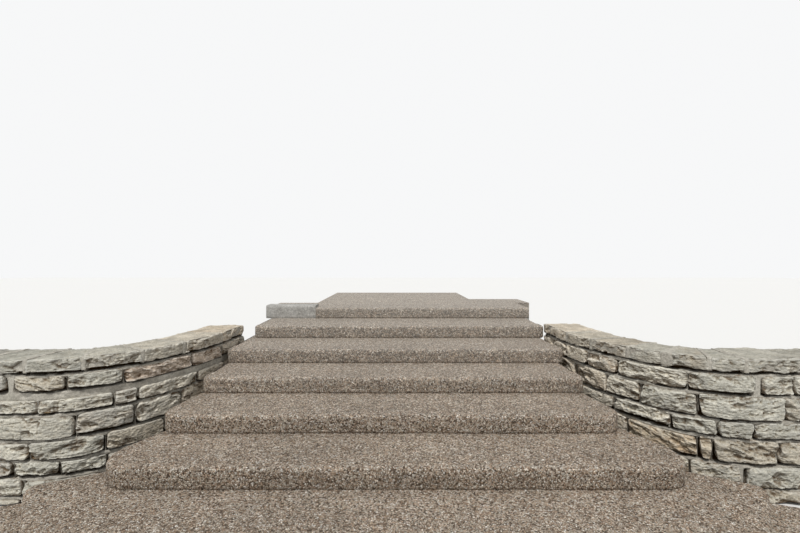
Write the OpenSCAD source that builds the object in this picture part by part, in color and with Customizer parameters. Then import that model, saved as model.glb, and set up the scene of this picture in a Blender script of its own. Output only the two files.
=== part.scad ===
// Outdoor steps of exposed-aggregate concrete between two curved stone retaining walls.
// Millimetres. X runs across the flight, Y climbs towards the landing, Z is up.
// The origin is on the ground, at the middle of the whole object.

/* [Flight] */
// Rise from one tread to the next
riser_h = 106; // [95:1:120]
// Rise of the bottom step's front edge above the ground
bottom_rise = 110; // [100:1:130]
// Angle by which every tread falls towards the front, in degrees
fall_angle = 1.15; // [0.2:0.05:2]
// Depth of the tread below the landing
top_tread = 475; // [400:5:520]
// Depth of the second tread from the top
second_tread = 455; // [400:5:520]
// Depth of every other tread
tread = 378; // [340:2:420]
// Radius of the rounded nosings
nosing_r = 22; // [10:1:30]

/* [Landing] */
// Depth of the landing's full-width front part
landing_d = 490; // [400:10:700]
// Left edge of the landing
landing_left_x = -1322; // [-1340:2:-1280]
// Right edge of the landing
landing_right_x = 1334; // [1280:2:1340]
// Depth of the whole landing, as far as the door
porch_d = 1950; // [1500:10:3000]
// Left edge of the porch floor
porch_left_x = -900; // [-1200:5:-700]
// Right edge of the porch floor
porch_right_x = 895; // [700:5:1200]
// Depth of the bay to the right of the porch floor
bay_d = 445; // [300:5:900]
// Right edge of that bay
bay_right_x = 1500; // [1340:10:1800]
// Width of the smooth plinth at the landing's left end
plinth_w = 500; // [300:10:700]
// Depth of the plinth
plinth_d = 150; // [100:10:400]
// Height of the plinth's top above the landing floor
plinth_rise = 25; // [0:1:40]

/* [Retaining walls] */
// Sideways place of the line midway between the walls
wall_x = -12; // [-40:2:40]
// Half of the distance between the walls' faces where they run straight
wall_face_x = 1348; // [1300:2:1500]
// Thickness of the walls
wall_t = 300; // [250:10:400]
// Angle through which the walls bend gently before they turn the corner, in degrees
bend_turn = 30; // [10:1:45]
// Radius of the gentle bend's face
bend_r = 1444; // [1000:2:1800]
// Radius of the corner's face
corner_r = 556; // [450:2:700]
// Distance from the landing's front edge to the rear end of the left wall
left_start_d = 475; // [300:5:600]
// Distance from the landing's front edge to the rear end of the right wall
right_start_d = 400; // [300:5:600]
// Distance from the landing's front edge to the walls' front faces
wall_front_d = 1800; // [1600:10:2000]
// Distance from the centre of the object to each outer end of the walls
wall_end_x = 3000; // [2500:50:4000]
// Heights of the left wall's stone courses under the cap, from the ground up
left_course_h = [42, 106, 91, 114, 139, 108, 115];
// Heights of the right wall's stone courses under the cap, from the ground up
right_course_h = [81, 134, 141, 100, 142, 117];
// Height of the cap course
cap_h = 94; // [60:1:120]
// Lip of the cap in front of the wall's face
cap_lip = 6; // [2:1:8]
// Depth of the raked mortar joints
rake_d = 14; // [5:1:25]
// Height of the raked mortar joints
rake_h = 14; // [8:1:20]

/* [Hidden] */
$fn = 64;
STEPS = 7;
SIDE_RUNS = 1;
BEND_RUNS = 2;
CORNER_RUNS = 2;
FRONT_RUNS = 2;
RUNS = SIDE_RUNS + BEND_RUNS + CORNER_RUNS + FRONT_RUNS;
NOSING_RINGS = 4;
NOSING_FACETS = 48;
WALL_FACETS = 96;

aggregate = [0.60, 0.53, 0.45];
smooth_concrete = [0.62, 0.61, 0.58];
limestone = [0.78, 0.76, 0.68];

// Places along the flight count forward from the landing's front edge. Step 0 is the landing and
// step 7 is the bottom step.
function nosing_d(k) =
    k <= 0 ? 0 : k == 1 ? top_tread : top_tread + second_tread + (k - 2) * tread;

// These lists have one value for every step, from the top step down. First the sideways place of
// its middle and half of its width between the walls.
step_x = [20, -14, -27, -34, -7, -5, -5];
body_half_w = [1297, 1311, 1301, 1305, 1330, 1330, 1330];
// Its front corners: half of the width reached, the corner's radius, and the place where the sides
// begin to spread past the walls' curves.
front_half_w = [1297, 1311, 1301, 1355, 1478, 1590, 1810];
front_corner_r = [60, 60, 60, 110, 170, 250, 300];
spread_d = [20, 495, 950, 1300, 1560, 1790, 1800];
// The two lowest steps also swell into ends beside their front corners: half of the width reached,
// the end's radius, and how far its centre lies behind the step's front edge.
swell_half_w = [0, 0, 0, 0, 0, 1800, 2140];
swell_r = [0, 0, 0, 0, 0, 50, 250];
swell_back = [0, 0, 0, 0, 0, 402, 580];

// The same place measured along the fall of the slabs.
function laid_d(k) = (nosing_d(k) + k * riser_h * sin(fall_angle)) / cos(fall_angle);

bottom_d = nosing_d(STEPS);
edge_y = (bottom_d - porch_d) / 2;
landing_z = bottom_rise + STEPS * riser_h * cos(fall_angle) + bottom_d * sin(fall_angle);
function total(list) = list * [for (value = list) 1];
wall_h = total(right_course_h);
bend_d = wall_front_d - corner_r * (1 - sin(bend_turn)) - bend_r * sin(bend_turn);
corner_x = wall_face_x + bend_r * (1 - cos(bend_turn)) + corner_r * cos(bend_turn);
corner_d = wall_front_d - corner_r;
footing_depth = 400;
// Depth of the strip where a slab's front meets its body
seam = 1;
// Amount by which a cutting shape stands out of what it cuts
clear = 1;
// Width of the flat that eases the front edge of the caps
ease = 16;

SIDES = ["left", "right"];

// Lays a slab's frame to the fall of step k, with the slab's top at its local zero.
module laid(k) {
    translate([0, edge_y, landing_z])
        rotate([fall_angle, 0, 0])
            translate([0, 0, -k * riser_h])
                children();
}

// Plan of the front of step k, drawn in by inset along its nosing and its rounded ends.
module nosing_plan(k, inset) {
    i = k - 1;
    translate([-body_half_w[i], -spread_d[i] - seam])
        square([2 * body_half_w[i], seam]);
    for (side = [-1, 1]) {
        translate([side * (front_half_w[i] - front_corner_r[i]), front_corner_r[i] - laid_d(k)])
            circle(r = front_corner_r[i] - inset);
        if (swell_r[i] > 0)
            translate([side * (swell_half_w[i] - swell_r[i]), swell_back[i] - laid_d(k)])
                circle(r = swell_r[i] - inset);
    }
}

// One slab: a plain body between the walls, and a front whose rounded nosing runs round its ends.
module step_slab(k, thickness) {
    i = k - 1;
    laid(k)
        translate([step_x[i], 0, -thickness]) {
            translate([-body_half_w[i], -spread_d[i], 0])
                cube([2 * body_half_w[i], spread_d[i] + landing_d, thickness]);
            hull()
                for (ring = [0:NOSING_RINGS])
                    let (turn = 90 * ring / NOSING_RINGS)
                        linear_extrude(height = thickness - nosing_r * (1 - sin(turn)))
                            nosing_plan(k, nosing_r * (1 - cos(turn)), $fn = NOSING_FACETS);
        }
}

// Everything below the ground.
module below_ground() {
    translate([-wall_end_x, -bottom_d, -footing_depth])
        cube([2 * wall_end_x, 2 * bottom_d, footing_depth]);
}

// Steps are numbered from the bottom one up.
module step(number) {
    color(aggregate)
        if (number == 1)
            difference() {
                step_slab(STEPS, footing_depth);
                below_ground();
            }
        else
            step_slab(STEPS + 1 - number, riser_h);
}

// A slab of the landing between two edges, with its nosing along the front.
module landing_strip(left_x, right_x, depth, rise) {
    laid(0)
        translate([right_x, 0, 0])
            rotate([0, -90, 0])
                linear_extrude(height = right_x - left_x)
                    landing_profile(depth, rise);
}

// Side view of such a slab: X is up, from its underside to rise above the floor, and Y runs back.
module landing_profile(depth, rise) {
    difference() {
        translate([-riser_h, 0])
            square([riser_h + rise, depth]);
        difference() {
            translate([rise - nosing_r, -clear])
                square([nosing_r + clear, nosing_r + clear]);
            translate([rise - nosing_r, nosing_r])
                circle(r = nosing_r);
        }
    }
}

// The landing's slab passes behind the plinth.
module landing() {
    color(aggregate) {
        landing_strip(landing_left_x + plinth_w, landing_right_x, landing_d, 0);
        laid(0)
            translate([landing_left_x, plinth_d, -riser_h])
                cube([plinth_w, landing_d - plinth_d, riser_h]);
    }
}

// The smooth concrete block at the left end of the landing's front.
module landing_plinth() {
    color(smooth_concrete)
        landing_strip(landing_left_x, landing_left_x + plinth_w, plinth_d, plinth_rise);
}

// A slab of the porch floor that lies behind the landing's front part.
module porch_slab(left_x, right_x, depth) {
    laid(0)
        translate([left_x, landing_d, -riser_h])
            cube([right_x - left_x, depth, riser_h]);
}

// The block that carries such a slab, from the ground up to its sloping underside.
module porch_block(left_x, right_x, depth) {
    difference() {
        translate([left_x, edge_y + landing_d, 0])
            cube([right_x - left_x, depth, landing_z + riser_h]);
        laid(1)
            translate([-wall_end_x, 0, 0])
                cube([2 * wall_end_x, porch_d + landing_d, landing_z]);
    }
}

module porch_floor() {
    color(aggregate)
        porch_slab(porch_left_x, porch_right_x, porch_d - landing_d);
}

module porch_bay() {
    color(aggregate)
        porch_slab(porch_right_x, bay_right_x, bay_d);
}

module porch_base() {
    color(smooth_concrete)
        porch_block(porch_left_x, porch_right_x, porch_d - landing_d);
}

module bay_base() {
    color(smooth_concrete)
        porch_block(porch_right_x, bay_right_x, bay_d);
}

// Height of the top of the first n courses in a list.
function course_top(courses, n) = n <= 0 ? 0 : courses[n - 1] + course_top(courses, n - 1);

// Section of a wall: X runs from its face into its thickness, Y is up. The bed joints are raked.
module wall_section(courses) {
    difference() {
        square([wall_t, wall_h]);
        for (n = [1:len(courses)])
            translate([-clear, course_top(courses, n) - rake_h / 2])
                square([rake_d + clear, rake_h]);
    }
}

// Section of the cap course, with eased front edges.
module cap_section() {
    difference() {
        translate([-cap_lip, wall_h])
            square([wall_t + 2 * cap_lip, cap_h]);
        translate([-cap_lip, wall_h + cap_h])
            rotate(45)
                square(ease, center = true);
    }
}

// Piece of a curved run: the given section swept through an angle that starts at the angle from.
module curved_run(centre_x, centre_d, radius, from, angle) {
    translate([centre_x, -centre_d, 0])
        rotate(180 + from)
            rotate_extrude(angle = angle, $fn = WALL_FACETS)
                translate([radius, 0])
                    mirror([1, 0])
                        children();
}

// Length of one run of the front part of a wall.
function front_run(side) = (wall_end_x - side * wall_x - corner_x) / FRONT_RUNS;

// Run i of a wall on one side, swept from the section that it is given: first the straight run
// beside the treads, then the gentle bend, the corner, and the runs that face the front.
module wall_run(side, i) {
    bend = i - SIDE_RUNS;
    corner = bend - BEND_RUNS;
    front = corner - CORNER_RUNS;
    start_d = side < 0 ? left_start_d : right_start_d;
    bend_step = bend_turn / BEND_RUNS;
    corner_step = (90 - bend_turn) / CORNER_RUNS;
    translate([wall_x, edge_y, 0])
        mirror([side < 0 ? 1 : 0, 0, 0])
            if (bend < 1)
                translate([wall_face_x, -start_d, 0])
                    rotate([90, 0, 0])
                        linear_extrude(height = bend_d - start_d)
                            children();
            else if (corner < 1)
                curved_run(wall_face_x + bend_r, bend_d, bend_r, (bend - 1) * bend_step, bend_step)
                    children();
            else if (front < 1)
                curved_run(corner_x, corner_d, corner_r, bend_turn + (corner - 1) * corner_step, corner_step)
                    children();
            else
                translate([corner_x + (front - 1) * front_run(side), -wall_front_d, 0])
                    rotate([90, 0, 90])
                        linear_extrude(height = front_run(side))
                            children();
}

module wall(side, i) {
    color(limestone)
        wall_run(side, i)
            wall_section(side < 0 ? left_course_h : right_course_h);
}

module cap(side, i) {
    color(limestone)
        wall_run(side, i)
            cap_section();
}

for (k = [1:STEPS])
    step(k);
landing();
landing_plinth();
porch_floor();
porch_bay();
porch_base();
bay_base();
for (s = [0, 1], i = [1:RUNS]) {
    wall(2 * s - 1, i);
    cap(2 * s - 1, i);
}
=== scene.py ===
"""Outdoor steps of exposed-aggregate concrete between two curved retaining walls of rock-faced stone."""

import math
import random

import bmesh
import bpy
import numpy as np
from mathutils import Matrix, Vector
from mathutils.geometry import convex_hull_2d, tessellate_polygon


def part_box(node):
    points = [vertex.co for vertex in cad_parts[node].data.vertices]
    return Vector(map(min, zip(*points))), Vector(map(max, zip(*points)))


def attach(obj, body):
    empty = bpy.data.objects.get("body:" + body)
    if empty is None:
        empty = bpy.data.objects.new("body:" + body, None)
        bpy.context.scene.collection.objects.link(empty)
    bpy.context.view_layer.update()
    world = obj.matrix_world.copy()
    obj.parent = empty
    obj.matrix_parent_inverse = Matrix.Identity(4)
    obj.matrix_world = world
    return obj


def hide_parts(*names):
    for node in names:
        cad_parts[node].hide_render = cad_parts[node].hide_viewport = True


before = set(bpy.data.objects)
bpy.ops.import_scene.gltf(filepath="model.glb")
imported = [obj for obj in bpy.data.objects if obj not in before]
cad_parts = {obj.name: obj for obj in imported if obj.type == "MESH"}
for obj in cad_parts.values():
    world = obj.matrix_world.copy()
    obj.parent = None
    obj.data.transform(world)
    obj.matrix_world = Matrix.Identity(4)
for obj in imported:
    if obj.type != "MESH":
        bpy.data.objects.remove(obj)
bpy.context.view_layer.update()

# Places read from the frame, in metres
LEFT_1, RIGHT_1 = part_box("left_wall_1"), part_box("right_wall_1")
LEFT_7, RIGHT_7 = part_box("left_wall_7"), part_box("right_wall_7")
AXIS_X = (LEFT_1[1].x + RIGHT_1[0].x) / 2
FACE_X = (RIGHT_1[0].x - LEFT_1[1].x) / 2
WALL_T = RIGHT_1[1].x - RIGHT_1[0].x
WALL_H = RIGHT_1[1].z
END_X = {-1: AXIS_X - LEFT_7[0].x, 1: RIGHT_7[1].x - AXIS_X}
CAP_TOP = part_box("right_cap_1")[1].z
CAP_LIP = RIGHT_1[0].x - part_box("right_cap_1")[0].x

# Each wall has this many runs of solids, and a side is -1 on the left and 1 on the right
RUNS = 7
SIDES = {-1: "left", 1: "right"}

# Distances forward from the landing's front edge to the walls' rear ends, their bends and their front
# faces. EDGE_Y is where that edge is.
START_D = {-1: 0.475, 1: 0.400}
EDGE_Y = RIGHT_1[1].y + START_D[1]
BEND_D = EDGE_Y - RIGHT_1[0].y
FRONT_D = EDGE_Y - RIGHT_7[0].y

# The walls' gentle bends and their corners
BEND_R = 1.444
BEND_TURN = math.radians(30)
CORNER_R = 0.556
CORNER_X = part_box("right_wall_6")[0].x - AXIS_X
CORNER_D = FRONT_D - CORNER_R

# The flight, as the solids have it
STEPS = 7
RISER = 0.106
BOTTOM_RISE = 0.110
FALL = math.radians(1.15)
NOSING_R = 0.022

# These lists start with the landing and go down: how far each nosing is from the landing's edge, the
# middle of each step, half its width behind and in front, and the radius of its front corners.
NOSING_D = [0.0, 0.475, 0.930, 1.308, 1.686, 2.064, 2.442, 2.820]
STEP_X = [0.0, 0.020, -0.014, -0.027, -0.034, -0.007, -0.005, -0.005]
BODY_HALF = [0.0, 1.297, 1.311, 1.301, 1.305, 1.330, 1.330, 1.330]
FRONT_HALF = [0.0, 1.297, 1.311, 1.301, 1.355, 1.478, 1.590, 1.810]
CORNER = [0.0, 0.060, 0.060, 0.060, 0.110, 0.170, 0.250, 0.300]

# Where the lower steps begin to spread. The others' outlines begin STRAIGHT behind their corners.
SPREAD_D = {4: 1.300, 5: 1.560, 6: 1.790, 7: 1.800}
STRAIGHT = 0.02

# The lowest steps are wider behind their fronts: half the width, the radius, and how far behind
SWELL_HALF = {6: 1.800, 7: 2.140}
SWELL_R = {6: 0.050, 7: 0.250}
SWELL_BACK = {6: 0.402, 7: 0.580}

# The height of the landing's edge
LANDING_Z = BOTTOM_RISE + STEPS * RISER * math.cos(FALL) + NOSING_D[STEPS] * math.sin(FALL)

# Heights of the stone courses from the ground up. The cap is the course above them.
COURSE_H = {
    -1: [0.042, 0.106, 0.091, 0.114, 0.139, 0.108, 0.115],
    1: [0.081, 0.134, 0.141, 0.100, 0.142, 0.117],
}
COURSE_Z = {side: [sum(h[:i]) for i in range(len(h) + 1)] for side, h in COURSE_H.items()}
CAP = {side: len(h) for side, h in COURSE_H.items()}

# Upright joints that the photograph shows, as distances along each wall's face in metres
SEEN_JOINTS = {
    (1, 0): [1.75],
    (1, 1): [1.63],
    (1, 2): [1.05, 1.43, 1.50, 1.83],
    (1, 3): [0.96, 1.30, 1.52, 1.69],
    (1, 4): [0.59, 0.90, 1.13, 1.43, 1.86],
    (1, 5): [0.22, 0.46, 0.73, 0.98, 1.38, 1.72, 1.91],
    (1, 6): [0.46, 0.76, 1.05, 1.28, 1.48, 1.65],
    (-1, 0): [1.70],
    (-1, 1): [1.69],
    (-1, 2): [1.28, 1.50],
    (-1, 3): [0.97, 1.29, 1.65],
    (-1, 4): [0.84, 1.14, 1.43],
    (-1, 5): [0.39, 0.71, 1.13, 1.25, 1.61],
    (-1, 6): [0.42, 0.76, 1.20, 1.47, 1.76],
    (-1, 7): [0.43, 0.82, 1.10, 1.39, 1.67],
}

# The other upright joints are chosen, about this far apart at least and at most
SHORTEST = 0.19
LONGEST = 0.42

# Beds of mortar that are thicker by this much above and below, each under the course it is named by
THICK_BEDS = {(-1, 6): 0.016}

# Upright joints, as listed above, that are wider by WIDER on each side
WIDE_JOINTS = {(1, 1): 1.63, (1, 5): 1.72, (1, 6): 1.28, (-1, 6): 1.76}
WIDER = 0.018


# Noise

# Large odd numbers that scatter the bits of whole numbers
SCATTER = (73856093, 19349663, 83492791, 2654435761)
STIR = ((15, 2246822519), (13, 3266489917))
BITS_32 = 0xFFFFFFFF
BITS_16 = 0xFFFF


def lattice(cells, seed):
    """A repeatable random value from -1 to 1 for each row of three whole numbers."""
    mixed = seed * SCATTER[3]
    for axis in range(3):
        mixed = mixed ^ cells[..., axis] * SCATTER[axis]
    mixed = mixed & BITS_32
    for shift, factor in STIR:
        mixed = ((mixed ^ (mixed >> shift)) * factor) & BITS_32
    return ((mixed ^ (mixed >> 16)) & BITS_16) / (BITS_16 / 2) - 1.0


def noise(points, scale, seed):
    """Smooth noise from -1 to 1, with lumps 1/scale across."""
    place = points * scale
    cell = np.floor(place).astype(np.int64)
    part = place - cell
    part = part * part * part * (part * (part * 6 - 15) + 10)
    total = 0.0
    for corner in range(8):
        step = np.array([corner & 1, corner >> 1 & 1, corner >> 2 & 1])
        weight = np.prod(np.where(step, part, 1 - part), axis=-1)
        total = total + weight * lattice(cell + step, seed)
    return total


def fractal(points, scale, octaves, seed):
    """Noise of several sizes, each half as wide and half as strong as the one before."""
    return sum(noise(points, scale * 2 ** i, seed + i) / 2 ** i for i in range(octaves))


def in_plane(x, y):
    """Points from two coordinates, with 0 as the third."""
    return np.stack([x, y, np.zeros(len(x))], axis=-1)


# Chiselled hollows: how far their middles stray, how they tilt and curve, how their depths vary
SCOOP_LOOSE = 0.4
SCOOP_TILT = 0.55
SCOOP_CURVE = 0.45
SCOOP_DEPTH = 0.3


def scoops(across, up, seed):
    """Tilted hollows of about one unit across with sharp ridges between them, as a chisel leaves."""
    cell = in_plane(np.floor(across), np.floor(up)).astype(np.int64)
    lowest = np.full(len(across), np.inf)
    for i in (-1, 0, 1):
        for j in (-1, 0, 1):
            near = cell + np.array([i, j, 0])
            chance = [lattice(near + np.array([0, 0, n]), seed) for n in range(5)]
            away_x = across - near[:, 0] - 0.5 - SCOOP_LOOSE * chance[0]
            away_y = up - near[:, 1] - 0.5 - SCOOP_LOOSE * chance[1]
            curve = SCOOP_CURVE * (away_x ** 2 + away_y ** 2)
            tilt = SCOOP_TILT * (chance[2] * away_x + chance[3] * away_y)
            lowest = np.minimum(lowest, curve + tilt + SCOOP_DEPTH * chance[4])
    return lowest


# The wall's outline, measured along its face from the rear end, and then round the back

def wall_runs(side):
    """The runs round one wall in plan: kind, length, start, direction or centre, and outward normal."""
    start_d, end, back = START_D[side], END_X[side], FACE_X + WALL_T
    bend, corner = (FACE_X + BEND_R, BEND_D), (CORNER_X, CORNER_D)
    flat, turned, quarter = math.pi, math.pi - BEND_TURN, math.pi / 2
    inner_bend, inner_corner = BEND_R - WALL_T, CORNER_R - WALL_T
    return [
        ("line", BEND_D - start_d, (FACE_X, start_d), (0, 1), (-1, 0)),
        ("arc", BEND_R * BEND_TURN, bend, BEND_R, (flat, turned)),
        ("arc", CORNER_R * (turned - quarter), corner, CORNER_R, (turned, quarter)),
        ("line", end - CORNER_X, (CORNER_X, FRONT_D), (1, 0), (0, 1)),
        ("line", WALL_T, (end, FRONT_D), (0, -1), (1, 0)),
        ("line", end - CORNER_X, (end, FRONT_D - WALL_T), (-1, 0), (0, -1)),
        ("arc", inner_corner * (turned - quarter), corner, inner_corner, (quarter, turned)),
        ("arc", inner_bend * BEND_TURN, bend, inner_bend, (turned, flat)),
        ("line", BEND_D - start_d, (back, BEND_D), (0, -1), (1, 0)),
        ("line", WALL_T, (back, start_d), (-1, 0), (0, -1)),
    ]


def loop_length(side):
    """The way round one wall, along its face, ends and back."""
    return sum(run[1] for run in wall_runs(side))


def face_length(side):
    """The way along one wall's face, from its rear end to its outer end."""
    return sum(run[1] for run in wall_runs(side)[:4])


def wall_points(side, along, out, z, mitred=True):
    """World places of points at a distance along a wall, out from its face, and at a height.

    Mitred points stop at the diagonal of the wall's sharp corners.
    """
    runs = wall_runs(side)
    along = np.mod(along, loop_length(side))
    x, d = np.zeros_like(along), np.zeros_like(along)
    begin = 0.0
    for i, (kind, length, *plan) in enumerate(runs):
        here = (along >= begin) & (along <= begin + length)
        s, o = along[here] - begin, out[here]
        if kind == "line":
            start, way, normal = plan
            if mitred and runs[i - 1][0] == "line":
                s = np.maximum(s, -o)
            if mitred and runs[(i + 1) % len(runs)][0] == "line":
                s = np.minimum(s, length + o)
            x[here] = start[0] + way[0] * s + normal[0] * o
            d[here] = start[1] + way[1] * s + normal[1] * o
        else:
            centre, radius, (first, last) = plan
            angle = first + (last - first) * s / length
            reach = radius + o if first > last else radius - o
            x[here] = centre[0] + reach * np.cos(angle)
            d[here] = centre[1] + reach * np.sin(angle)
        begin += length
    return np.stack([side * x + AXIS_X, EDGE_Y - d, z], axis=-1)


def course_joints(side, course):
    """Every upright joint of a course round the wall: those in the photograph, then chosen ones."""
    rng = random.Random(f"joints {side} {course}")
    joints = list(SEEN_JOINTS[side, course])
    target = joints[0] + loop_length(side)
    lengths = []
    while joints[-1] + sum(lengths) < target - SHORTEST:
        lengths.append(rng.uniform(SHORTEST, LONGEST))
    spread = (target - joints[-1]) / sum(lengths)
    for length in lengths:
        joints.append(joints[-1] + length * spread)
    return joints


# Stones

def quads(grid):
    """The faces between the rows and columns of a grid of point numbers."""
    corners = [grid[:-1, :-1], grid[1:, :-1], grid[1:, 1:], grid[:-1, 1:]]
    return np.stack(corners, axis=-1).reshape(-1, 4).tolist()


def block_faces(nu, nv, nw):
    """Lattice places and faces on a box of nu by nv by nw cells. Its last side is closed by strips."""
    number = -np.ones((nu + 1, nv + 1, nw + 1), dtype=np.int64)
    i, j, k = np.meshgrid(np.arange(nu + 1), np.arange(nv + 1), np.arange(nw + 1), indexing="ij")
    keep = (i == 0) | (i == nu) | (j == 0) | (j == nv) | (k == 0)
    number[keep] = np.arange(keep.sum())
    places = np.stack([i[keep] / nu, j[keep] / nv, k[keep] / nw], axis=-1)
    faces = quads(number[:, :, 0])
    for grid in (number[0], number[nu], number[:, 0], number[:, nv]):
        faces += quads(grid)
    for n in range(1, nu - 1):
        faces.append([number[n, 0, nw], number[n + 1, 0, nw], number[n + 1, nv, nw], number[n, nv, nw]])
    for end, inner in ((0, 1), (nu, nu - 1)):
        faces.append(list(number[end, :, nw]) + [number[inner, nv, nw], number[inner, 0, nw]])
    return places, faces


# Edges that bend by more than these angles stay sharp
STONE_CREASE = 0.55
CREASE = 0.9


class Pile:
    """Collects the stones of one piece and makes their mesh."""

    def __init__(self):
        self.points, self.faces, self.tones, self.marks = [], [], [], []
        self.count = 0

    def add(self, points, faces, tone, rust, hollow):
        self.points.append(points)
        self.faces += [[int(n) + self.count for n in face] for face in faces]
        self.tones.append(np.tile(np.array([*tone, 1.0]), (len(points), 1)))
        self.marks.append(np.stack([hollow, np.full(len(points), rust)], axis=-1))
        self.count += len(points)

    def build(self, name, material):
        mesh = bpy.data.meshes.new(name)
        mesh.from_pydata(np.concatenate(self.points).tolist(), [], self.faces)
        tone = mesh.color_attributes.new("tone", "FLOAT_COLOR", "POINT")
        tone.data.foreach_set("color", np.concatenate(self.tones).astype(np.float32).ravel())
        marks = np.concatenate(self.marks).astype(np.float32)
        for column, title in enumerate(("hollow", "rust")):
            layer = mesh.attributes.new(title, "FLOAT", "POINT")
            layer.data.foreach_set("value", marks[:, column].copy())
        return finished(mesh, name, material, STONE_CREASE)


def added(name, data):
    """A new object in the scene."""
    item = bpy.data.objects.new(name, data)
    bpy.context.scene.collection.objects.link(item)
    return item


def finished(mesh, name, material, crease=CREASE):
    """An object from a mesh, with its faces turned outwards and its sharp edges kept sharp."""
    shape = bmesh.new()
    shape.from_mesh(mesh)
    bmesh.ops.recalc_face_normals(shape, faces=shape.faces)
    for face in shape.faces:
        face.smooth = True
    for edge in shape.edges:
        edge.smooth = not (edge.is_manifold and edge.calc_face_angle() > crease)
    shape.to_mesh(mesh)
    shape.free()
    mesh.materials.append(material)
    return added(name, mesh)


# How unevenly a stone's edges are rounded, and the widest they are as a share of its half thickness
CHIPPING = 0.45
WIDEST_EDGE = 0.9


def rounded(places, size, radius, seed):
    """Points of a box with rounded, unevenly chipped edges, and the way each faces."""
    half = size / 2
    flat = (places - 0.5) * size
    uneven = radius * (1 + CHIPPING * noise(flat, 28, seed))
    uneven = np.minimum(uneven, half.min() * WIDEST_EDGE)[:, None]
    core = np.clip(flat, -(half - uneven), half - uneven)
    facing = flat - core
    facing /= np.maximum(np.linalg.norm(facing, axis=-1, keepdims=True), 1e-9)
    return core + facing * uneven, facing


# Colours of the stones. From WARM_FROM along a wall towards its rear end, WARM takes over: a warmer
# colour that is also paler, as painted light.
CREAM = (0.66, 0.640, 0.565)
GREY_GREEN = (0.60, 0.590, 0.525)
GREY = (0.55, 0.535, 0.485)
BUFF = (0.61, 0.565, 0.475)
TAN = (0.64, 0.565, 0.450)
PINK = (0.61, 0.520, 0.440)
WARM = (0.82, 0.725, 0.595)
WARM_FROM = 1.3

# How common each colour from CREAM to TAN is, also in the right wall's lowest courses
SHARES = (6, 4, 2, 2, 0)
LOW_SHARES = (5, 1, 0, 5, 3)
LOW_COURSES = 3

# The most rust that a stone shows by chance, and how rare much of it is
MOST_RUST = 0.45
RUST_RARITY = 5

# Stained stones in the photograph: where their middles are, nearly, and their colour and rust
STAINED = {(1, 2): (1.24,), (-1, 6): (0.59, 0.98)}
STAIN = {-1: (PINK, 0.12), 1: (TAN, 0.55)}
SAME_STONE = 0.05

# Painted light: the stones beside the steps are made paler by these shares, fading out before PALE_TO
# along the wall
PAINTED_LIGHT = {-1: 0.20, 1: 0.16}
PALE_TO = 1.9
PALE_FADE = 0.8


def stone_tone(side, course, middle, rng):
    """A stone's colour, with painted light beside the steps, and how much rust it shows."""
    shares = SHARES if side < 0 or course >= LOW_COURSES else LOW_SHARES
    tone = np.array(rng.choices([CREAM, GREY_GREEN, GREY, BUFF, TAN], shares)[0])
    rust = rng.random() ** RUST_RARITY * MOST_RUST
    # Towards the rear end: a warmer colour, and paler as painted light
    warm_and_lit = max(0.0, 1.0 - middle / WARM_FROM)
    tone = tone * (1 - warm_and_lit) + np.array(WARM) * warm_and_lit
    for spot in STAINED.get((side, course), ()):
        if abs(middle - spot) < SAME_STONE:
            colour, rust = STAIN[side]
            tone = np.array(colour)
    # Painted light: paler beside the steps
    paler = 1 + PAINTED_LIGHT[side] * min(1.0, max(0.0, (PALE_TO - middle) / PALE_FADE))
    return tone * rng.uniform(0.86, 1.02) * paler, rust


# Widths of mesh cells: on the face up to FAR along it, beyond it, on the back and behind the steps
FACE_CELL = 0.0044
FAR_CELL = 0.0075
FAR = 2.0
BACK_CELL = 0.015
HIDDEN_CELL = 0.020
FEWEST_CELLS = 4

# A stone's depth, the mortar it leaves free at its beds and upright joints, and what some beds add
STONE_DEPTH = 0.055
BED_BELOW = (0.004, 0.011)
BED_ABOVE = (0.003, 0.009)
UPRIGHT = (0.004, 0.010)
WIDER_BED = 0.008

# The farthest that stones stand out, in the wall and in the cap, and how softly they are kept to it
PROUD_LIMIT = 0.010
CAP_PROUD_LIMIT = 0.004
SOFTNESS = 0.0015

# Relief of a split face: the depth, width and height of its hollows, the height and step of its
# ledges, and the fineness and depth of its grooves
HOLLOWS = ((0.0340, 0.080, 0.040), (0.0170, 0.032, 0.018))
LEDGE = 0.034
LEDGE_STEP = 0.0050
GROOVES = ((24, 0.0045), (46, 0.0026))
GROOVE_WIDTH = 0.26

# What each stone draws for itself
EDGE_R = (0.004, 0.008)
PROUD = (-0.004, 0.006)
BEDS_TURN = (-0.45, 0.45)
SLOPE_UP = (-0.10, 0.10)
SLOPE_ALONG = (-0.03, 0.03)
TILT = (-0.015, 0.015)
LEAN = (-0.16, 0.16)
PLACES = (0, 50)
SEEDS = 10000


def smooth_step(value, low, high):
    """Rises smoothly from 0 at the low value to 1 at the high one."""
    part = np.clip((value - low) / (high - low), 0, 1)
    return part * part * (3 - 2 * part)


def kept_under(value, limit):
    """The value, led smoothly below the limit where it would pass it."""
    return -SOFTNESS * np.logaddexp(-value / SOFTNESS, -limit / SOFTNESS)


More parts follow.
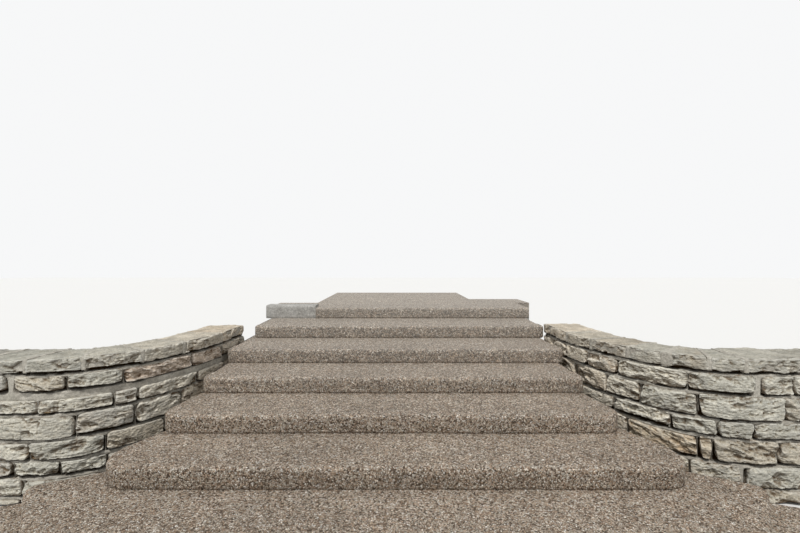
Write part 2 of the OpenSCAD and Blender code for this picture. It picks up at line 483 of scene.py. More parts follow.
def rock_relief(across, up, seed, turn):
    """How far a split face stands out: chiselled hollows, grooves, and ledges along the bedding."""
    sample = in_plane(across, up)
    bend = 0.010 * noise(sample, 16, seed)
    x = across * math.cos(turn) + (up + bend) * math.sin(turn)
    y = (up + bend) * math.cos(turn) - across * math.sin(turn)
    hollows = 0.0
    for salt, (depth, wide, high) in enumerate(HOLLOWS, 1):
        hollows = hollows + depth * scoops(x / wide, y / high, seed + salt)
    level = (up + 0.008 * noise(sample * (0.45, 1, 1), 16, seed + 5)) / LEDGE
    band = np.floor(level)
    part = smooth_step(level - band, 0.86, 1.0)
    cell = in_plane(band, np.zeros(len(band))).astype(np.int64)
    ledge = lattice(cell, seed) * (1 - part) + lattice(cell + np.array([1, 0, 0]), seed) * part
    split = smooth_step(noise(sample * (0.6, 1, 1), 7, seed + 6), -0.25, 0.35)
    grooves = 0.0
    for salt, (size, depth) in enumerate(GROOVES, 8):
        wrinkle = np.abs(noise(in_plane(x, 2.0 * y), size, seed + salt))
        grooves = grooves - depth * (1 - smooth_step(wrinkle, 0.0, GROOVE_WIDTH))
    grain = 0.0012 * fractal(sample, 75, 2, seed + 7)
    return hollows + grooves + LEDGE_STEP * ledge * split + grain


def beside_step(side, along):
    """Height of the tread beside a wall's face, at a distance along the face."""
    place = along + START_D[side]
    below = sum(1 for edge in NOSING_D if edge < place)
    return LANDING_Z - RISER * below - place * math.sin(FALL)


def widened(side, course, joint):
    """How much wider than usual an upright joint is on each side."""
    return WIDER if joint == WIDE_JOINTS.get((side, course)) else 0.0


def bed_gap(side, course, least, rng):
    """The mortar that a stone leaves free at the bed under a course."""
    return rng.uniform(*least) + rng.choice([0, 0, 0, WIDER_BED]) + THICK_BEDS.get((side, course), 0.0)


def face_stone(side, course, begin, end, rng, pile, cell):
    """One rock-faced stone of a wall's course, between two upright joints."""
    low, high = COURSE_Z[side][course], COURSE_Z[side][course + 1]
    low += bed_gap(side, course, BED_BELOW, rng)
    high -= bed_gap(side, course + 1, BED_ABOVE, rng)
    begin += rng.uniform(*UPRIGHT) + widened(side, course, begin)
    end -= rng.uniform(*UPRIGHT) + widened(side, course, end)
    size = np.array([end - begin, high - low, STONE_DEPTH])
    counts = [max(FEWEST_CELLS, round(length / cell)) for length in size[:2]]
    places, faces = block_faces(*counts, FEWEST_CELLS)
    seed = rng.randrange(SEEDS)
    local, facing = rounded(places, size, rng.uniform(*EDGE_R), seed)
    across, up = local[:, 0] + rng.uniform(*PLACES), local[:, 1] + rng.uniform(*PLACES)
    sample = np.stack([across, up, local[:, 2]], axis=-1)
    wave = 0.0070 * noise(sample * (0.7, 1, 1), 11, seed + 1) + 0.0045 * fractal(sample, 30, 3, seed + 2)
    front = np.clip(-facing[:, 2], 0, 1)
    relief = rock_relief(across, up, seed, rng.uniform(*BEDS_TURN))
    relief += rng.uniform(*SLOPE_UP) * local[:, 1] + rng.uniform(*SLOPE_ALONG) * local[:, 0]
    u, v = np.abs(2 * places[:, 0] - 1), np.abs(2 * places[:, 1] - 1)
    pillow = (1 - u ** 10) * (1 - v ** 6)
    relief = relief + 0.008 * pillow + 0.002
    proud = rng.uniform(*PROUD)
    local[:, 1] *= 1 - rng.uniform(0.08, 0.20) * u ** 10
    local[:, 0] -= np.sign(local[:, 0]) * rng.uniform(0.002, 0.008) * v ** 5 * u ** 6
    outward = local + facing * np.where(front > 0.5, 0, wave)[:, None]
    tilt = rng.uniform(*TILT)
    lean = rng.uniform(*LEAN) * (1 - places[:, 0]) + rng.uniform(*LEAN) * places[:, 0]
    along = (begin + end) / 2 + outward[:, 0] + lean * local[:, 1]
    height = (low + high) / 2 + outward[:, 1] + tilt * outward[:, 0]
    height = np.maximum(height, 0.0)
    out = -(outward[:, 2] + STONE_DEPTH / 2) + front * relief + proud
    # Where painted shade and grime go: the hollows of the face and every side but the front
    hollow = np.clip(0.40 - relief / 0.020, 0, 1) * front + (1 - front)
    tone, rust = stone_tone(side, course, (begin + end) / 2 % loop_length(side), rng)
    pile.add(wall_points(side, along, kept_under(out, PROUD_LIMIT), height), faces, tone, rust, hollow)


# Cap stones. Their relief is stronger than the wall's, they leave CAP_JOINT more at a joint than at
# the wall's ends, and they stay END_MARGIN short of its outer end.
CAP_CELLS = (0.007, 0.010, 0.0065)
CAP_RELIEF = 1.3
CAP_TURN = (-0.3, 0.3)
END_TURN = 0.1
CAP_EDGE_R = (0.005, 0.010)
CAP_UPRIGHT = (0.003, 0.007)
CAP_JOINT = 0.004
END_MARGIN = 1e-6
CAP_SHADE = 0.76


def cap_stone(side, begin, end, rng, pile):
    """One flat stone of the cap course, as deep as the wall."""
    first, last = begin == 0.0, end == face_length(side)
    begin += rng.uniform(*CAP_UPRIGHT) + (0.0 if first else CAP_JOINT + widened(side, CAP[side], begin))
    end -= rng.uniform(*CAP_UPRIGHT) + (0.0 if last else CAP_JOINT + widened(side, CAP[side], end))
    low, high = WALL_H + rng.uniform(0.004, 0.014), CAP_TOP - rng.uniform(0.0, 0.010)
    front, back = CAP_LIP - rng.uniform(0.0, 0.008), -(WALL_T + CAP_LIP) + rng.uniform(0.0, 0.02)
    size = np.array([end - begin, front - back, high - low])
    counts = [max(FEWEST_CELLS, round(length / cell)) for length, cell in zip(size, CAP_CELLS)]
    places, faces = block_faces(*counts)
    seed = rng.randrange(SEEDS)
    local, facing = rounded(places, size, rng.uniform(*CAP_EDGE_R), seed)
    sample = local + np.array([rng.uniform(*PLACES), rng.uniform(*PLACES), 0])
    side_face = np.clip(np.abs(facing[:, 1]), 0, 1)
    free_end = first * np.clip(-facing[:, 0], 0, 1) + last * np.clip(facing[:, 0], 0, 1)
    pillow = 0.010 * np.abs(2 * places[:, 2] - 1) ** 5
    rocky = rock_relief(sample[:, 0], sample[:, 2], seed, rng.uniform(*CAP_TURN))
    relief = side_face * (CAP_RELIEF * rocky + 0.013 - pillow)
    waves = 0.0020 * fractal(sample, 9, 4, seed + 3) + 0.0010 * fractal(sample, 60, 2, seed + 4)
    relief += (1 - side_face) * waves
    relief += 0.004 * noise(sample, 12, seed + 5) - 0.003
    broken = rock_relief(sample[:, 1], sample[:, 2], seed + 20, END_TURN)
    relief += free_end * (CAP_RELIEF * broken + 0.015 - pillow)
    moved = local + facing * kept_under(relief, CAP_PROUD_LIMIT)[:, None]
    below = np.clip(facing[:, 2], 0, 1) + (facing[:, 2] > -0.2) * smooth_step(places[:, 2], 0.6, 1.0)
    moved[:, 2] += 0.006 * np.clip(below, 0, 1) * noise(sample * (1, 0.3, 1), 13, seed + 6)
    along = (begin + end) / 2 + moved[:, 0] + rng.uniform(-0.2, 0.2) * moved[:, 2]
    along = np.clip(along, 0.0, face_length(side) - END_MARGIN)
    out = (front + back) / 2 - moved[:, 1]
    height = (low + high) / 2 - moved[:, 2]
    # Where painted shade and grime go: the hollows of the split faces and the free ends
    hollow = np.clip(0.4 - relief / 0.018, 0, 1) * np.maximum(side_face, free_end)
    tone, rust = stone_tone(side, CAP[side], (begin + end) / 2, rng)
    points = wall_points(side, along, out, np.minimum(height, CAP_TOP), mitred=False)
    pile.add(points, faces, tone * CAP_SHADE, rust * 0.5, hollow)


# Steps can cover stones up to COVERED_LENGTH along a wall. Its face is one piece up to NEAR.
COVERED_LENGTH = 1.10
NEAR = 1.15


def wall_stones(side, material):
    """The stones of one wall: those of its face in two pieces, and those of its ends and back."""
    rng = random.Random(f"wall {side}")
    near, far, unseen = Pile(), Pile(), Pile()
    for course in range(CAP[side]):
        joints = course_joints(side, course)
        for begin, end in zip(joints, joints[1:]):
            place = begin % loop_length(side)
            if place > face_length(side):
                pile, cell = unseen, BACK_CELL
            elif place > FAR:
                pile, cell = far, FAR_CELL
            else:
                pile, cell = (near if place < NEAR else far), FACE_CELL
            if end < COVERED_LENGTH and COURSE_Z[side][course + 1] < beside_step(side, end):
                cell = HIDDEN_CELL
            face_stone(side, course, begin, end, rng, pile, cell)
    name = SIDES[side]
    parts = (("inner", near), ("face", far), ("back", unseen))
    return [pile.build(f"{name}_{part}_stones", material) for part, pile in parts]


# The longest that the outermost cap stone may be, and the lengths of those past the photograph
LAST_CAP = 0.5
CAP_LENGTHS = (0.24, 0.38)


def cap_joints(side):
    """Where the cap stones of one wall meet, from its rear end to its outer end."""
    rng = random.Random(f"cap joints {side}")
    joints = [0.0] + SEEN_JOINTS[side, CAP[side]]
    last = face_length(side)
    while last - joints[-1] > LAST_CAP:
        joints.append(joints[-1] + rng.uniform(*CAP_LENGTHS))
    return joints + [last]


def cap_stones(side, material):
    """The cap stones of one wall."""
    rng = random.Random(f"cap {side}")
    joints = cap_joints(side)
    pile = Pile()
    for begin, end in zip(joints, joints[1:]):
        cap_stone(side, begin, end, rng, pile)
    piece = pile.build(f"{SIDES[side]}_cap_stones", material)
    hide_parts(*[f"{SIDES[side]}_cap_{i}" for i in range(1, RUNS + 1)])
    return piece


# Mortar: the width of its mesh cells, its rows at the foot, round each bed and in the cap, where the cap
# begins, and how far it stands back: where filled, where raked out, in the cap and near the cap's ends
MORTAR_CELL = 0.009
FOOT_ROWS = (0.0, 0.008)
JOINT_ROWS = (-0.028, -0.016, -0.009, -0.003, 0.002, 0.006, 0.013, 0.022, 0.034)
CAP_ROWS = (WALL_H + 0.055, CAP_TOP - 0.019)
CAP_FROM = WALL_H + 0.02
FLUSH = 0.009
RAKED = 0.042
IN_CAP = 0.006
IN_CAP_END = 0.035

# Mortar between the cap stones: its width, its foot and its top, and its mesh cells
CAP_MORTAR = 0.026
CAP_MORTAR_LOW = WALL_H + 0.010
CAP_MORTAR_HIGH = CAP_TOP - 0.006
CAP_MORTAR_CELLS = (4, 30, 9)


def cap_mortar(side):
    """Points and faces of the mortar in the upright joints of one wall's cap, nearly flush with it."""
    places, block = block_faces(*CAP_MORTAR_CELLS)
    points, faces = [], []
    for number, joint in enumerate(cap_joints(side)[1:-1]):
        width = CAP_MORTAR + 2 * widened(side, CAP[side], joint)
        size = np.array([width, WALL_T + 0.004, CAP_MORTAR_HIGH - CAP_MORTAR_LOW])
        local, facing = rounded(places, size, 0.006, number + 70)
        local += facing * 0.0030 * fractal(local + joint * 9, 40, 3, 46)[:, None]
        out = -WALL_T / 2 - local[:, 1]
        height = (CAP_MORTAR_LOW + CAP_MORTAR_HIGH) / 2 - local[:, 2]
        points.append(wall_points(side, joint + local[:, 0], out, height, mitred=False))
        faces += [[int(n) + number * len(places) for n in face] for face in block]
    return np.concatenate(points), faces


def mortar_core(side, material):
    """The mortar of one wall, nearly flush over each stone and raked deep under the next."""
    length = loop_length(side)
    columns = round(length / MORTAR_CELL)
    levels = [joint + step for joint in COURSE_Z[side][1:] for step in JOINT_ROWS]
    levels = sorted([*FOOT_ROWS, *levels, *CAP_ROWS])
    along, height = np.meshgrid(np.arange(columns) * length / columns, np.array(levels), indexing="ij")
    along, height = along.ravel(), height.ravel()
    sample = np.stack([along, height, np.full_like(along, side * 3.7)], axis=-1)
    shift = 0.006 * noise(sample, 22, 41) + 0.004 * noise(sample, 7, 42)
    bed = np.zeros_like(along)
    for course, joint in enumerate(COURSE_Z[side][1:], 1):
        over = height - joint + shift
        thick = THICK_BEDS.get((side, course), 0.0)
        below = smooth_step(over, -0.032 - thick, -0.020 - thick)
        bed = np.maximum(bed, below * (1 - smooth_step(over, thick - 0.003, thick + 0.003)))
    head = np.zeros_like(along)
    rows = [course_joints(side, course) for course in range(CAP[side])] + [cap_joints(side)]
    for course, joints in enumerate(rows):
        top = COURSE_Z[side][course + 1] if course < CAP[side] else CAP_TOP
        here = (height > COURSE_Z[side][course]) & (height <= top)
        for joint in joints:
            away = (along - joint + length / 2) % length - length / 2 + shift
            wide = widened(side, course, joint)
            before = smooth_step(away, -0.013 - wide, -0.007 - wide)
            beyond = smooth_step(away, wide - 0.004, wide + 0.002)
            head = np.maximum(head, before * (1 - beyond) * here)
    filled = np.maximum(bed, head)
    out = -RAKED * (1 - filled) - FLUSH * filled
    out += 0.0035 * fractal(sample, 16, 3, 40) + 0.0020 * filled * fractal(sample, 55, 2, 45)
    in_cap = height > CAP_FROM
    out = np.where(in_cap, 0.003 * noise(sample, 40, 44) - IN_CAP, out)
    outer_end, rear_end = face_length(side) + WALL_T / 2, length - WALL_T / 2
    from_rear = (along - rear_end + length / 2) % length - length / 2
    from_end = np.minimum(np.abs(along - outer_end), np.abs(from_rear))
    out = np.where(in_cap & (from_end < WALL_T / 2 + IN_CAP_END), -IN_CAP_END, out)
    points = wall_points(side, along, out, height)
    grid = np.arange(columns * len(levels)).reshape(columns, len(levels))
    faces = quads(np.vstack([grid, grid[:1]]))
    for ring in (grid[:, 0], grid[:, -1]):
        outline = [Vector(points[n]) for n in ring]
        faces += [[int(ring[n]) for n in triangle] for triangle in tessellate_polygon([outline])]
    more, blocks = cap_mortar(side)
    faces += [[n + len(points) for n in face] for face in blocks]
    mesh = bpy.data.meshes.new("mortar")
    mesh.from_pydata(points.tolist() + more.tolist(), [], faces)
    # Painted shade: the deeper the mortar stands back, the darker it is painted
    layer = mesh.attributes.new("raked", "FLOAT", "POINT")
    raked = np.concatenate([np.clip((-out - 0.010) / 0.022, 0, 1), np.zeros(len(more))])
    layer.data.foreach_set("value", raked.astype(np.float32))
    piece = finished(mesh, f"{SIDES[side]}_mortar", material)
    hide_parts(*[f"{SIDES[side]}_wall_{i}" for i in range(1, RUNS + 1)])
    return piece


# Steps

# Depths of the landing's front slab and of the plinth, and how far the plinth stands higher
LANDING_D = 0.490
PLINTH_D = 0.150
PLINTH_RISE = 0.025

# The groove at the foot of each riser, and the first strip of the top behind each nosing
FOOT_GROOVE = 0.004
TOP_EDGE = 0.010

# How finely the slabs are drawn along their fronts, up their risers, round their nosings and corners
OUTLINE_CELL = 0.007
RISER_ROWS = 10
NOSING_ROWS = 5
ARC_POINTS = 64


def laid_d(k):
    """How far in front of the landing's edge step k's front is, along the fall of the slabs."""
    return (NOSING_D[k] + k * RISER * math.sin(FALL)) / math.cos(FALL)


def laid(k, across, forward, up):
    """World places of points in the frame of step k's top, which falls to the front."""
    up = up - k * RISER
    y = -forward * math.cos(FALL) - up * math.sin(FALL)
    z = -forward * math.sin(FALL) + up * math.cos(FALL)
    return np.stack([across + STEP_X[k], y + EDGE_Y, z + LANDING_Z], axis=-1)


def evenly(points, cell):
    """Points spaced evenly along a line through points."""
    points = np.array(points)
    steps = np.linalg.norm(np.diff(points, axis=0), axis=1)
    reach = np.concatenate([[0], np.cumsum(steps)])
    count = max(2, round(reach[-1] / cell))
    wanted = np.linspace(0, reach[-1], count + 1)
    return np.stack([np.interp(wanted, reach, column) for column in points.T], axis=-1)


def front_outline(k):
    """The front of step k in plan, from its left end round to its right end."""
    half = BODY_HALF[k]
    strip = SPREAD_D.get(k, laid_d(k) - 2 * CORNER[k] - STRAIGHT)
    points = [(-half, strip), (half, strip)]
    circles = [(FRONT_HALF[k] - CORNER[k], laid_d(k) - CORNER[k], CORNER[k])]
    if k in SWELL_R:
        circles.append((SWELL_HALF[k] - SWELL_R[k], laid_d(k) - SWELL_BACK[k], SWELL_R[k]))
    for x, d, radius in circles:
        for i in range(ARC_POINTS):
            turn = 2 * math.pi * i / ARC_POINTS
            points += [(x + radius * math.cos(turn), d + radius * math.sin(turn))]
            points += [(-x - radius * math.cos(turn), d + radius * math.sin(turn))]
    ring = [points[i] for i in convex_hull_2d([Vector(p) for p in points])]
    first = min(range(len(ring)), key=lambda i: math.dist(ring[i], (-half, strip)))
    ring = ring[first:] + ring[:first]
    if math.dist(ring[1], (half, strip)) < 1e-4:
        ring = [ring[0]] + ring[:0:-1]
    return evenly(ring, OUTLINE_CELL)


def plan_normals(line):
    """Outward normals of a line in plan that runs from left to right round the front."""
    way = np.gradient(line, axis=0)
    way /= np.linalg.norm(way, axis=1, keepdims=True)
    return np.stack([-way[:, 1], way[:, 0]], axis=-1)


def slab(name, k, outline, rear, top, material, rough=1.0):
    """A slab with its rounded nosing: the front rows follow the outline, the rear is a plain body."""
    normals = plan_normals(outline)
    side_rows = [-RISER + (RISER + top - NOSING_R) * i / RISER_ROWS for i in range(RISER_ROWS + 1)]
    rows = [(FOOT_GROOVE, -RISER), (FOOT_GROOVE, -RISER + FOOT_GROOVE)]
    rows += [(0.0, up) for up in side_rows[1:]]
    for i in range(1, NOSING_ROWS + 1):
        turn = math.pi / 2 * i / NOSING_ROWS
        rows.append((NOSING_R * (1 - math.cos(turn)), top - NOSING_R * (1 - math.sin(turn))))
    rows.append((NOSING_R + TOP_EDGE, top))
    sheets = []
    for inset, up in rows:
        place = outline - normals * inset
        sample = np.stack([place[:, 0], place[:, 1], np.full(len(place), up + k * 7.3)], axis=-1)
        push = 0.0022 * fractal(sample, 4, 3, 60) + 0.0012 * fractal(sample, 70, 2, 61)
        lift = 0.0010 * noise(sample, 90, 62)
        fade = 0.0 if inset > NOSING_R else rough
        place = place + normals * (push * fade)[:, None]
        height = np.full(len(place), up) + lift * fade * (up > top - NOSING_R)
        sheets.append(laid(k, place[:, 0], place[:, 1], height))
    points = np.concatenate(sheets)
    if k == STEPS:
        points[:, 2] = np.maximum(points[:, 2], 0.0)
    grid = np.arange(len(points)).reshape(len(rows), len(outline))
    faces = quads(grid.T)
    rear = np.array(rear)
    low = laid(k, rear[:, 0], rear[:, 1], np.full(len(rear), -RISER))
    if k == STEPS:
        low[:, 2] = 0.0
    high = laid(k, rear[:, 0], rear[:, 1], np.full(len(rear), top))
    lows = list(range(len(points), len(points) + len(rear)))
    highs = [n + len(rear) for n in lows]
    flat = [grid[0].tolist() + lows, grid[-1].tolist() + highs]
    flat.append(grid[:, -1].tolist() + [highs[0], lows[0]])
    flat.append([lows[-1], highs[-1]] + grid[::-1, 0].tolist())
    flat += [[lows[i], highs[i], highs[i + 1], lows[i + 1]] for i in range(len(rear) - 1)]
    mesh = bpy.data.meshes.new(name)
    mesh.from_pydata(np.concatenate([points, low, high]).tolist(), [], faces + flat)
    piece = finished(mesh, name, material)
    for face in piece.data.polygons[len(faces):]:
        face.use_smooth = False
    return piece


def flight(material):
    """The seven steps, each standing for its own solid."""
    pieces = []
    for k in range(1, STEPS + 1):
        number = STEPS + 1 - k
        rear = [(BODY_HALF[k], -LANDING_D), (-BODY_HALF[k], -LANDING_D)]
        piece = slab(f"tread_{number}", k, front_outline(k), rear, 0.0, material)
        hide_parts(f"step_{number}")
        pieces.append(piece)
    return pieces


def landing_front(material):
    """The front slab of the landing, which passes behind the plinth at its left end."""
    left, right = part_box("landing")[0].x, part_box("landing")[1].x
    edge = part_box("landing_plinth")[1].x
    rear = [(right, -LANDING_D), (left, -LANDING_D), (left, -PLINTH_D), (edge, -PLINTH_D)]
    outline = evenly([(edge, 0.0), (right, 0.0)], OUTLINE_CELL)
    piece = slab("landing_slab", 0, outline, rear, 0.0, material)
    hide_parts("landing")
    return piece


def landing_plinth(material):
    """The smooth block at the left end of the landing's front."""
    left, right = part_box("landing_plinth")[0].x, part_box("landing_plinth")[1].x
    rear = [(right, -PLINTH_D), (left, -PLINTH_D)]
    outline = evenly([(left, 0.0), (right, 0.0)], OUTLINE_CELL)
    piece = slab("landing_plinth_slab", 0, outline, rear, PLINTH_RISE, material, rough=0.4)
    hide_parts("landing_plinth")
    return piece


# Materials

class Shader:
    """A material's node tree, with short calls for the nodes used here."""

    def __init__(self, name, roughness, specular):
        self.material = bpy.data.materials.new(name)
        self.material.use_nodes = True
        self.tree = self.material.node_tree
        self.surface = self.tree.nodes["Principled BSDF"]
        self.surface.inputs["Roughness"].default_value = roughness
        self.surface.inputs["Specular IOR Level"].default_value = specular
        self.place = self.tree.nodes.new("ShaderNodeTexCoord").outputs["Object"]

    def put(self, socket, value):
        if isinstance(value, bpy.types.NodeSocket):
            self.tree.links.new(value, socket)
        elif isinstance(value, tuple) and len(value) == 3 and len(socket.default_value) == 4:
            socket.default_value = (*value, 1.0)
        else:
            socket.default_value = value

    def node(self, kind, output, inputs, **settings):
        """One output of a new node, with its inputs put in by name or number."""
        node = self.tree.nodes.new("ShaderNode" + kind)
        for name, value in settings.items():
            setattr(node, name, value)
        for name, value in inputs.items():
            self.put(node.inputs[name], value)
        return node.outputs[output]

    def stretched(self, amounts):
        return self.node("Mapping", "Vector", {"Vector": self.place, "Scale": amounts})

    def noise(self, scale, detail=3.0, rough=0.55, place=None, warp=0.0):
        names = ("Vector", "Scale", "Detail", "Roughness", "Distortion")
        inputs = dict(zip(names, (place or self.place, scale, detail, rough, warp)))
        return self.node("TexNoise", "Fac", inputs)

    def cells(self, scale, feature="F1", output="Distance", place=None, loose=1.0):
        inputs = {"Vector": place or self.place, "Scale": scale, "Randomness": loose}
        return self.node("TexVoronoi", output, inputs, feature=feature)

    def attribute(self, name, output="Fac"):
        return self.node("Attribute", output, {}, attribute_name=name)

    def ramp(self, value, stops):
        node = self.tree.nodes.new("ShaderNodeValToRGB")
        while len(node.color_ramp.elements) < len(stops):
            node.color_ramp.elements.new(0.5)
        for element, (position, colour) in zip(node.color_ramp.elements, stops):
            element.position = position
            element.color = (*colour, 1.0)
        self.put(node.inputs["Fac"], value)
        return node.outputs["Color"]

    def range(self, value, low, high, new_low=0.0, new_high=1.0):
        names = ("Value", "From Min", "From Max", "To Min", "To Max")
        return self.node("MapRange", "Result", dict(zip(names, (value, low, high, new_low, new_high))))

    def math(self, kind, first, second=0.0):
        return self.node("Math", "Value", {0: first, 1: second}, operation=kind)

    def mix(self, amount, first, second, kind="MIX"):
        inputs = {"Factor": amount, 6: first, 7: second}
        return self.node("Mix", 2, inputs, data_type="RGBA", blend_type=kind)

    def times(self, colour, factor):
        return self.mix(1.0, colour, factor, "MULTIPLY")

    def shaded(self, amount, colour, factor):
        """The colour multiplied by a factor, to some amount."""
        return self.mix(amount, colour, self.times(colour, factor))

    def mottled(self, colour, sizes, detail, rough):
        """The colour in darker and lighter patches: the scale of each noise, and its two factors."""
        for scale, low, high in sizes:
            factor = self.range(self.noise(scale, detail, rough), 0.3, 0.7, low, high)
            colour = self.times(colour, factor)
        return colour

    def channel(self, colour, index):
        return self.node("SeparateColor", index, {"Color": colour})

    def pointiness(self):
        return self.node("NewGeometry", "Pointiness", {})

    def height(self):
        return self.node("SeparateXYZ", "Z", {"Vector": self.place})

    def facing_up(self):
        normal = self.node("NewGeometry", "Normal", {})
        return self.node("SeparateXYZ", "Z", {"Vector": normal})

    def bump(self, height, depth, strength, normal=None):
        inputs = {"Height": height, "Distance": depth, "Strength": strength}
        if normal:
            inputs["Normal"] = normal
        return self.node("Bump", "Normal", inputs)

    def done(self, colour, normal):
        self.put(self.surface.inputs["Base Color"], colour)
        self.put(self.surface.inputs["Normal"], normal)
        return self.material


def aggregate_material():
    """Concrete with its small rounded pebbles washed bare, and the gaps between them dark partly in
    their own colour and partly as painted shade.
    """
    shader = Shader("exposed_aggregate", 0.75, 0.3)
    scale = 150
    loose = 0.85
    colours = shader.cells(scale, output="Color", loose=loose)
    gap = shader.range(shader.cells(scale, "DISTANCE_TO_EDGE", loose=loose), 0.02, 0.17)
    dome = shader.range(shader.cells(scale, loose=loose), 0.0, 0.60, 1.0, 0.0)
    pebble = shader.ramp(shader.channel(colours, 0), [
        (0.00, (0.050, 0.034, 0.024)),
        (0.14, (0.130, 0.090, 0.062)),
        (0.24, (0.400, 0.280, 0.195)),
        (0.40, (0.580, 0.455, 0.335)),
        (0.56, (0.500, 0.470, 0.395)),
        (0.74, (0.700, 0.570, 0.460)),
        (0.88, (0.860, 0.780, 0.660)),
        (1.00, (0.980, 0.950, 0.890)),
    ])
    shade = shader.range(shader.channel(colours, 1), 0.0, 1.0, 0.35, 1.0)
    pebble = shader.mix(0.45, pebble, shade, "MULTIPLY")
    grains = shader.range(shader.noise(420, 2), 0.3, 0.7)
    # The binder between the pebbles: its own colour, darkened as painted shade in the crevices
    shaded_cement = shader.mix(grains, (0.030, 0.020, 0.013), (0.150, 0.109, 0.074))
    # The gaps are paler on faces that look up
    paler_facing_up = shader.range(shader.facing_up(), 0.6, 0.98, 0.0, 0.18)
    shaded_cement = shader.mix(paler_facing_up, shaded_cement, (0.26, 0.210, 0.165))
    colour = shader.mix(gap, shaded_cement, pebble)
    colour = shader.mottled(colour, ((1.3, 0.86, 1.10), (13.0, 0.84, 1.12)), 4, 0.6)
    worn = shader.range(shader.height(), 0.25, 0.80, 0.20, 1.0)
    clusters = shader.range(shader.noise(60, 3, 0.75), 0.32, 0.68, 0.05, 1.85)
    colour = shader.shaded(worn, colour, clusters)
    # The higher steps are paler
    paler_higher_up = shader.range(shader.height(), 0.40, 0.95, 0.0, 0.30)
    colour = shader.mix(paler_higher_up, colour, (0.61, 0.58, 0.530))
    height = shader.math("MULTIPLY", dome, gap)
    normal = shader.bump(height, 0.0035, 0.9)
    normal = shader.bump(shader.noise(380, 3), 0.0008, 0.6, normal)
    return shader.done(colour, normal)


def stone_material(name, streaks):
    """Rock-faced limestone in each stone's own colour, with blotches, streaks, cracks and rust, painted
    shade and grime in its hollows and on its sides, painted shade in its creases and on its undersides,
    and painted highlights on its ridges.
    """
    shader = Shader(name, 0.95, 0.05)
    tone = shader.attribute("tone", "Color")
    blotch = shader.range(shader.noise(18, 5, 0.65, warp=0.4), 0.32, 0.68, 0.0, 1.0)
    darker = shader.times(tone, (0.76, 0.76, 0.755))
    paler = shader.times(tone, (1.16, 1.14, 1.10))
    colour = shader.mix(blotch, darker, paler)
    beds = shader.noise(1.0, 4, 0.6, shader.stretched((7.0, 7.0, 95.0)), 0.3)
    beds = shader.range(beds, 0.36, 0.56, 1.0 - streaks, 1.0)
    colour = shader.times(colour, beds)
    rust = shader.range(shader.noise(11, 4, 0.6, warp=0.8), 0.44, 0.64)
    rust = shader.math("MULTIPLY", rust, shader.attribute("rust"))
    colour = shader.mix(rust, colour, (0.50, 0.335, 0.185))
    cracks = shader.noise(1.0, 5, 0.7, shader.stretched((9.0, 9.0, 26.0)), 0.9)
    cracks = shader.math("ABSOLUTE", shader.math("SUBTRACT", cracks, 0.5))
    cracks = shader.range(cracks, 0.0, 0.011, 1.0, 0.0)
    colour = shader.shaded(cracks, colour, (0.45, 0.39, 0.30))
    colour = shader.mottled(colour, ((80.0, 0.80, 1.16), (240.0, 0.84, 1.12)), 3, 0.6)
    # Painted shade in the concave creases, from the mesh's pointiness
    edges = shader.pointiness()
    hollows = shader.range(edges, 0.42, 0.497, 1.0, 0.0)
    colour = shader.shaded(hollows, colour, (0.44, 0.36, 0.25))
    # Painted highlights on the sharp ridges
    colour = shader.mix(shader.range(edges, 0.50, 0.57, 0.0, 0.38), colour, (0.84, 0.825, 0.76))
    # Painted shade and grime, broken up by noise, on the hollows and sides
    shade_and_dirt = shader.range(shader.noise(34, 5, 0.7), 0.38, 0.58)
    shade_and_dirt = shader.math("MULTIPLY", shade_and_dirt, shader.range(shader.attribute("hollow"), 0.50, 0.95, 0.0, 0.85))
    colour = shader.mix(shade_and_dirt, colour, (0.125, 0.076, 0.038))
    # Painted shade on the faces that look down
    under = shader.range(shader.facing_up(), -0.85, -0.15, 0.85, 0.0)
    colour = shader.mix(under, colour, (0.056, 0.031, 0.013))
    chips = shader.cells(1.0, place=shader.stretched((48.0, 48.0, 80.0)))
    normal = shader.bump(chips, 0.012, 0.6)
    normal = shader.bump(shader.noise(90, 3, 0.55), 0.0040, 0.8, normal)
    normal = shader.bump(shader.noise(420, 3, 0.7), 0.0008, 0.7, normal)
    return shader.done(colour, normal)


def mortar_material():
    """Gritty grey-beige mortar, with dark brown painted shade where it is raked out."""
    shader = Shader("mortar", 0.95, 0.05)
    blotch = shader.range(shader.noise(14, 5, 0.65), 0.3, 0.7)
    colour = shader.mix(blotch, (0.38, 0.355, 0.305), (0.62, 0.590, 0.520))
    colour = shader.mottled(colour, ((60.0, 0.74, 1.16), (190.0, 0.74, 1.18)), 4, 0.7)
    # Painted shade in the raked-out joints
    colour = shader.mix(shader.attribute("raked"), colour, (0.036, 0.020, 0.008))
    normal = shader.bump(shader.noise(55, 3, 0.6), 0.009, 0.8)
    normal = shader.bump(shader.noise(190, 3, 0.6), 0.002, 0.8, normal)
    return shader.done(colour, normal)


def concrete_material():
    """Pale cast concrete, worn rough, with stains, and small holes painted darker as shade."""
    shader = Shader("cast_concrete", 0.9, 0.2)
    cloud = shader.range(shader.noise(9, 6, 0.7, warp=0.3), 0.34, 0.66)
    colour = shader.mix(cloud, (0.36, 0.350, 0.326), (0.52, 0.512, 0.486))
    colour = shader.mottled(colour, ((38.0, 0.74, 1.18), (80.0, 0.62, 1.28)), 4, 0.65)
    pits = shader.range(shader.cells(95), 0.10, 0.24)
    chosen = shader.range(shader.channel(shader.cells(95, output="Color"), 0), 0.20, 0.21, 0.0, 1.0)
    pits = shader.math("MAXIMUM", pits, chosen)
    # Painted shade in the small holes
    colour = shader.times(colour, shader.range(pits, 0.0, 1.0, 0.55, 1.0))
    normal = shader.bump(pits, 0.003, 0.8)
    normal = shader.bump(shader.noise(60, 5, 0.6), 0.004, 0.7, normal)
    return shader.done(colour, normal)


# The stage

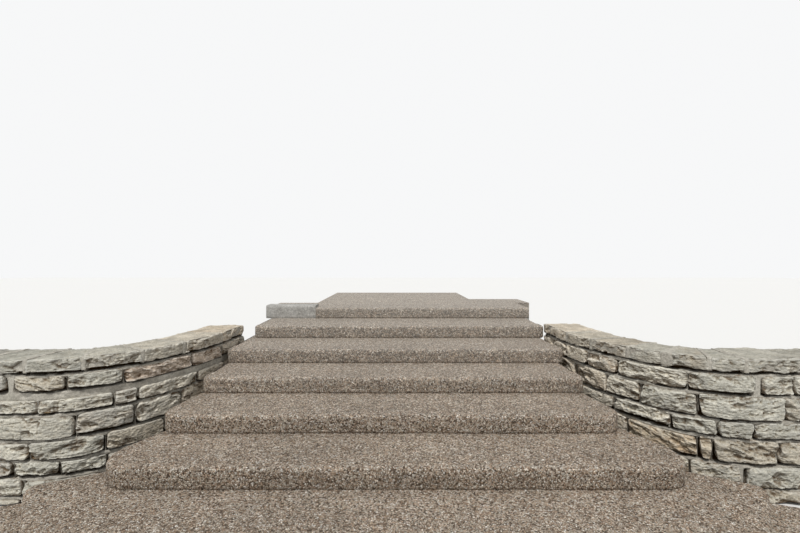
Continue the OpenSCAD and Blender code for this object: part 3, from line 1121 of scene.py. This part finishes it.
# The photograph's size, focal length and vanishing point in pixels, and the sensor's width
PHOTO_WIDTH = 800
PHOTO_HEIGHT = 533
FOCAL_PX = 390.0
HORIZON = (397.0, 269.7)
SENSOR = 36.0

# The eye's height, and its distance in front of the landing's edge
EYE_Z = 1.294
EYE_BACK = 3.939

FLOOR_REACH = 60.0
FLOOR_Z = -0.001
SKY_STRENGTH = 0.50
SUN_STRENGTH = 2.25
SUN_ANGLE = math.radians(4)
SUN_TOWARD = (0.13, 0.54, -1.0)


def camera():
    """A level camera at the photograph's place, looking straight up the flight."""
    data = bpy.data.cameras.new("camera")
    data.sensor_width = SENSOR
    data.lens = FOCAL_PX / PHOTO_WIDTH * SENSOR
    data.shift_x = (PHOTO_WIDTH / 2 - HORIZON[0]) / PHOTO_WIDTH
    data.shift_y = (HORIZON[1] - PHOTO_HEIGHT / 2) / PHOTO_WIDTH
    eye = added("camera", data)
    eye.location = (0.0, EDGE_Y - EYE_BACK, EYE_Z)
    eye.rotation_euler = (math.pi / 2, 0.0, 0.0)
    bpy.context.scene.camera = eye


def floor():
    """A plain pale floor that keeps the object's shadow."""
    corners = [(x * FLOOR_REACH, y * FLOOR_REACH, 0) for x, y in ((-1, -1), (1, -1), (1, 1), (-1, 1))]
    mesh = bpy.data.meshes.new("floor")
    mesh.from_pydata(corners, [], [(0, 1, 2, 3)])
    material = bpy.data.materials.new("floor")
    material.use_nodes = True
    surface = material.node_tree.nodes["Principled BSDF"]
    surface.inputs["Base Color"].default_value = (0.82, 0.82, 0.81, 1.0)
    surface.inputs["Roughness"].default_value = 0.9
    mesh.materials.append(material)
    plane = added("floor", mesh)
    plane.location.z = FLOOR_Z


def light():
    """Soft light from the whole sky, and a broad sun from high in front."""
    world = bpy.data.worlds.new("studio")
    world.use_nodes = True
    tree = world.node_tree
    sky = tree.nodes["Background"]
    sky.inputs["Color"].default_value = (0.97, 0.985, 1.0, 1.0)
    sky.inputs["Strength"].default_value = SKY_STRENGTH
    seen = tree.nodes.new("ShaderNodeBackground")
    seen.inputs["Color"].default_value = (0.93, 0.935, 0.94, 1.0)
    path = tree.nodes.new("ShaderNodeLightPath")
    rays = tree.nodes.new("ShaderNodeMath")
    rays.operation = "MAXIMUM"
    blend = tree.nodes.new("ShaderNodeMixShader")
    for source, target in (
        (path.outputs["Is Camera Ray"], rays.inputs[0]),
        (path.outputs["Is Glossy Ray"], rays.inputs[1]),
        (rays.outputs["Value"], blend.inputs[0]),
        (sky.outputs["Background"], blend.inputs[1]),
        (seen.outputs["Background"], blend.inputs[2]),
        (blend.outputs["Shader"], tree.nodes["World Output"].inputs["Surface"]),
    ):
        tree.links.new(source, target)
    bpy.context.scene.world = world
    data = bpy.data.lights.new("sun", "SUN")
    data.energy = SUN_STRENGTH
    data.angle = SUN_ANGLE
    data.color = (1.0, 0.98, 0.95)
    sun = added("sun", data)
    sun.rotation_mode = "QUATERNION"
    sun.rotation_quaternion = Vector(SUN_TOWARD).to_track_quat("-Z", "Y")


# Everything together

camera()
floor()
light()

aggregate = aggregate_material()
limestone = stone_material("limestone", 0.22)
cap_material = stone_material("cap_stone", 0.30)
mortar = mortar_material()
concrete = concrete_material()

for name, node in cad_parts.items():
    smooth = name in ("landing_plinth", "porch_base", "bay_base")
    for place in node.material_slots:
        place.material = concrete if smooth else aggregate

for piece in flight(aggregate) + [landing_front(aggregate)]:
    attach(piece, "root")
plinth = landing_plinth(concrete)
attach(plinth, "root")

for side in SIDES:
    for piece in wall_stones(side, limestone):
        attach(piece, "root")
    piece = cap_stones(side, cap_material)
    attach(piece, "root")
    piece = mortar_core(side, mortar)
    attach(piece, "root")

bpy.context.scene.view_settings.view_transform = "Standard"
